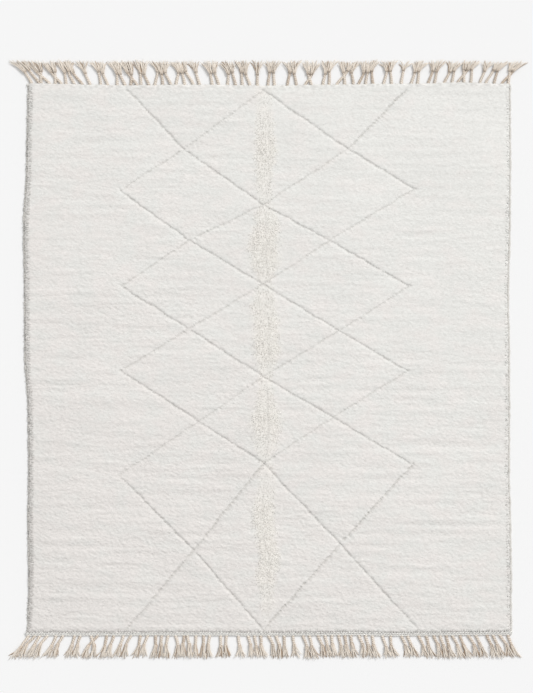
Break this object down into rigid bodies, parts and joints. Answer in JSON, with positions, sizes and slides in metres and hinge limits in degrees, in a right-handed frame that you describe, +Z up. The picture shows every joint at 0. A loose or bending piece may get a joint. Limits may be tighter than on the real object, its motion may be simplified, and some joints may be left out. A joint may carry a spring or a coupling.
{
  "type": "beni ourain rug",
  "caption": "Thick ivory wool rug lying flat, with a carved lozenge lattice, overcast sides and a knotted fringe on a woven band at each end.",
  "frame": {"origin": "middle of the rug's footprint, fringes included, at the height of the floor", "axes": "+X across the rug, +Y along it towards the far fringe, +Z up out of the pile"},
  "size_m": [2.596, 2.9985, 0.0183],
  "materials": {
    "ivory_wool": "dense matt ivory wool pile, a little warmer and shaggier down the middle",
    "edge_wool": "ivory wool wrapped tightly over the edge cords",
    "natural_yarn": "undyed beige twisted wool and cotton yarn, loose at the tips"
  },
  "bodies": {
    "root": {"pile_field": "ivory_wool", "selvedge_left": "edge_wool", "selvedge_right": "edge_wool", "fringe_far": "natural_yarn", "fringe_near": "natural_yarn"}
  },
  "joints": []
}
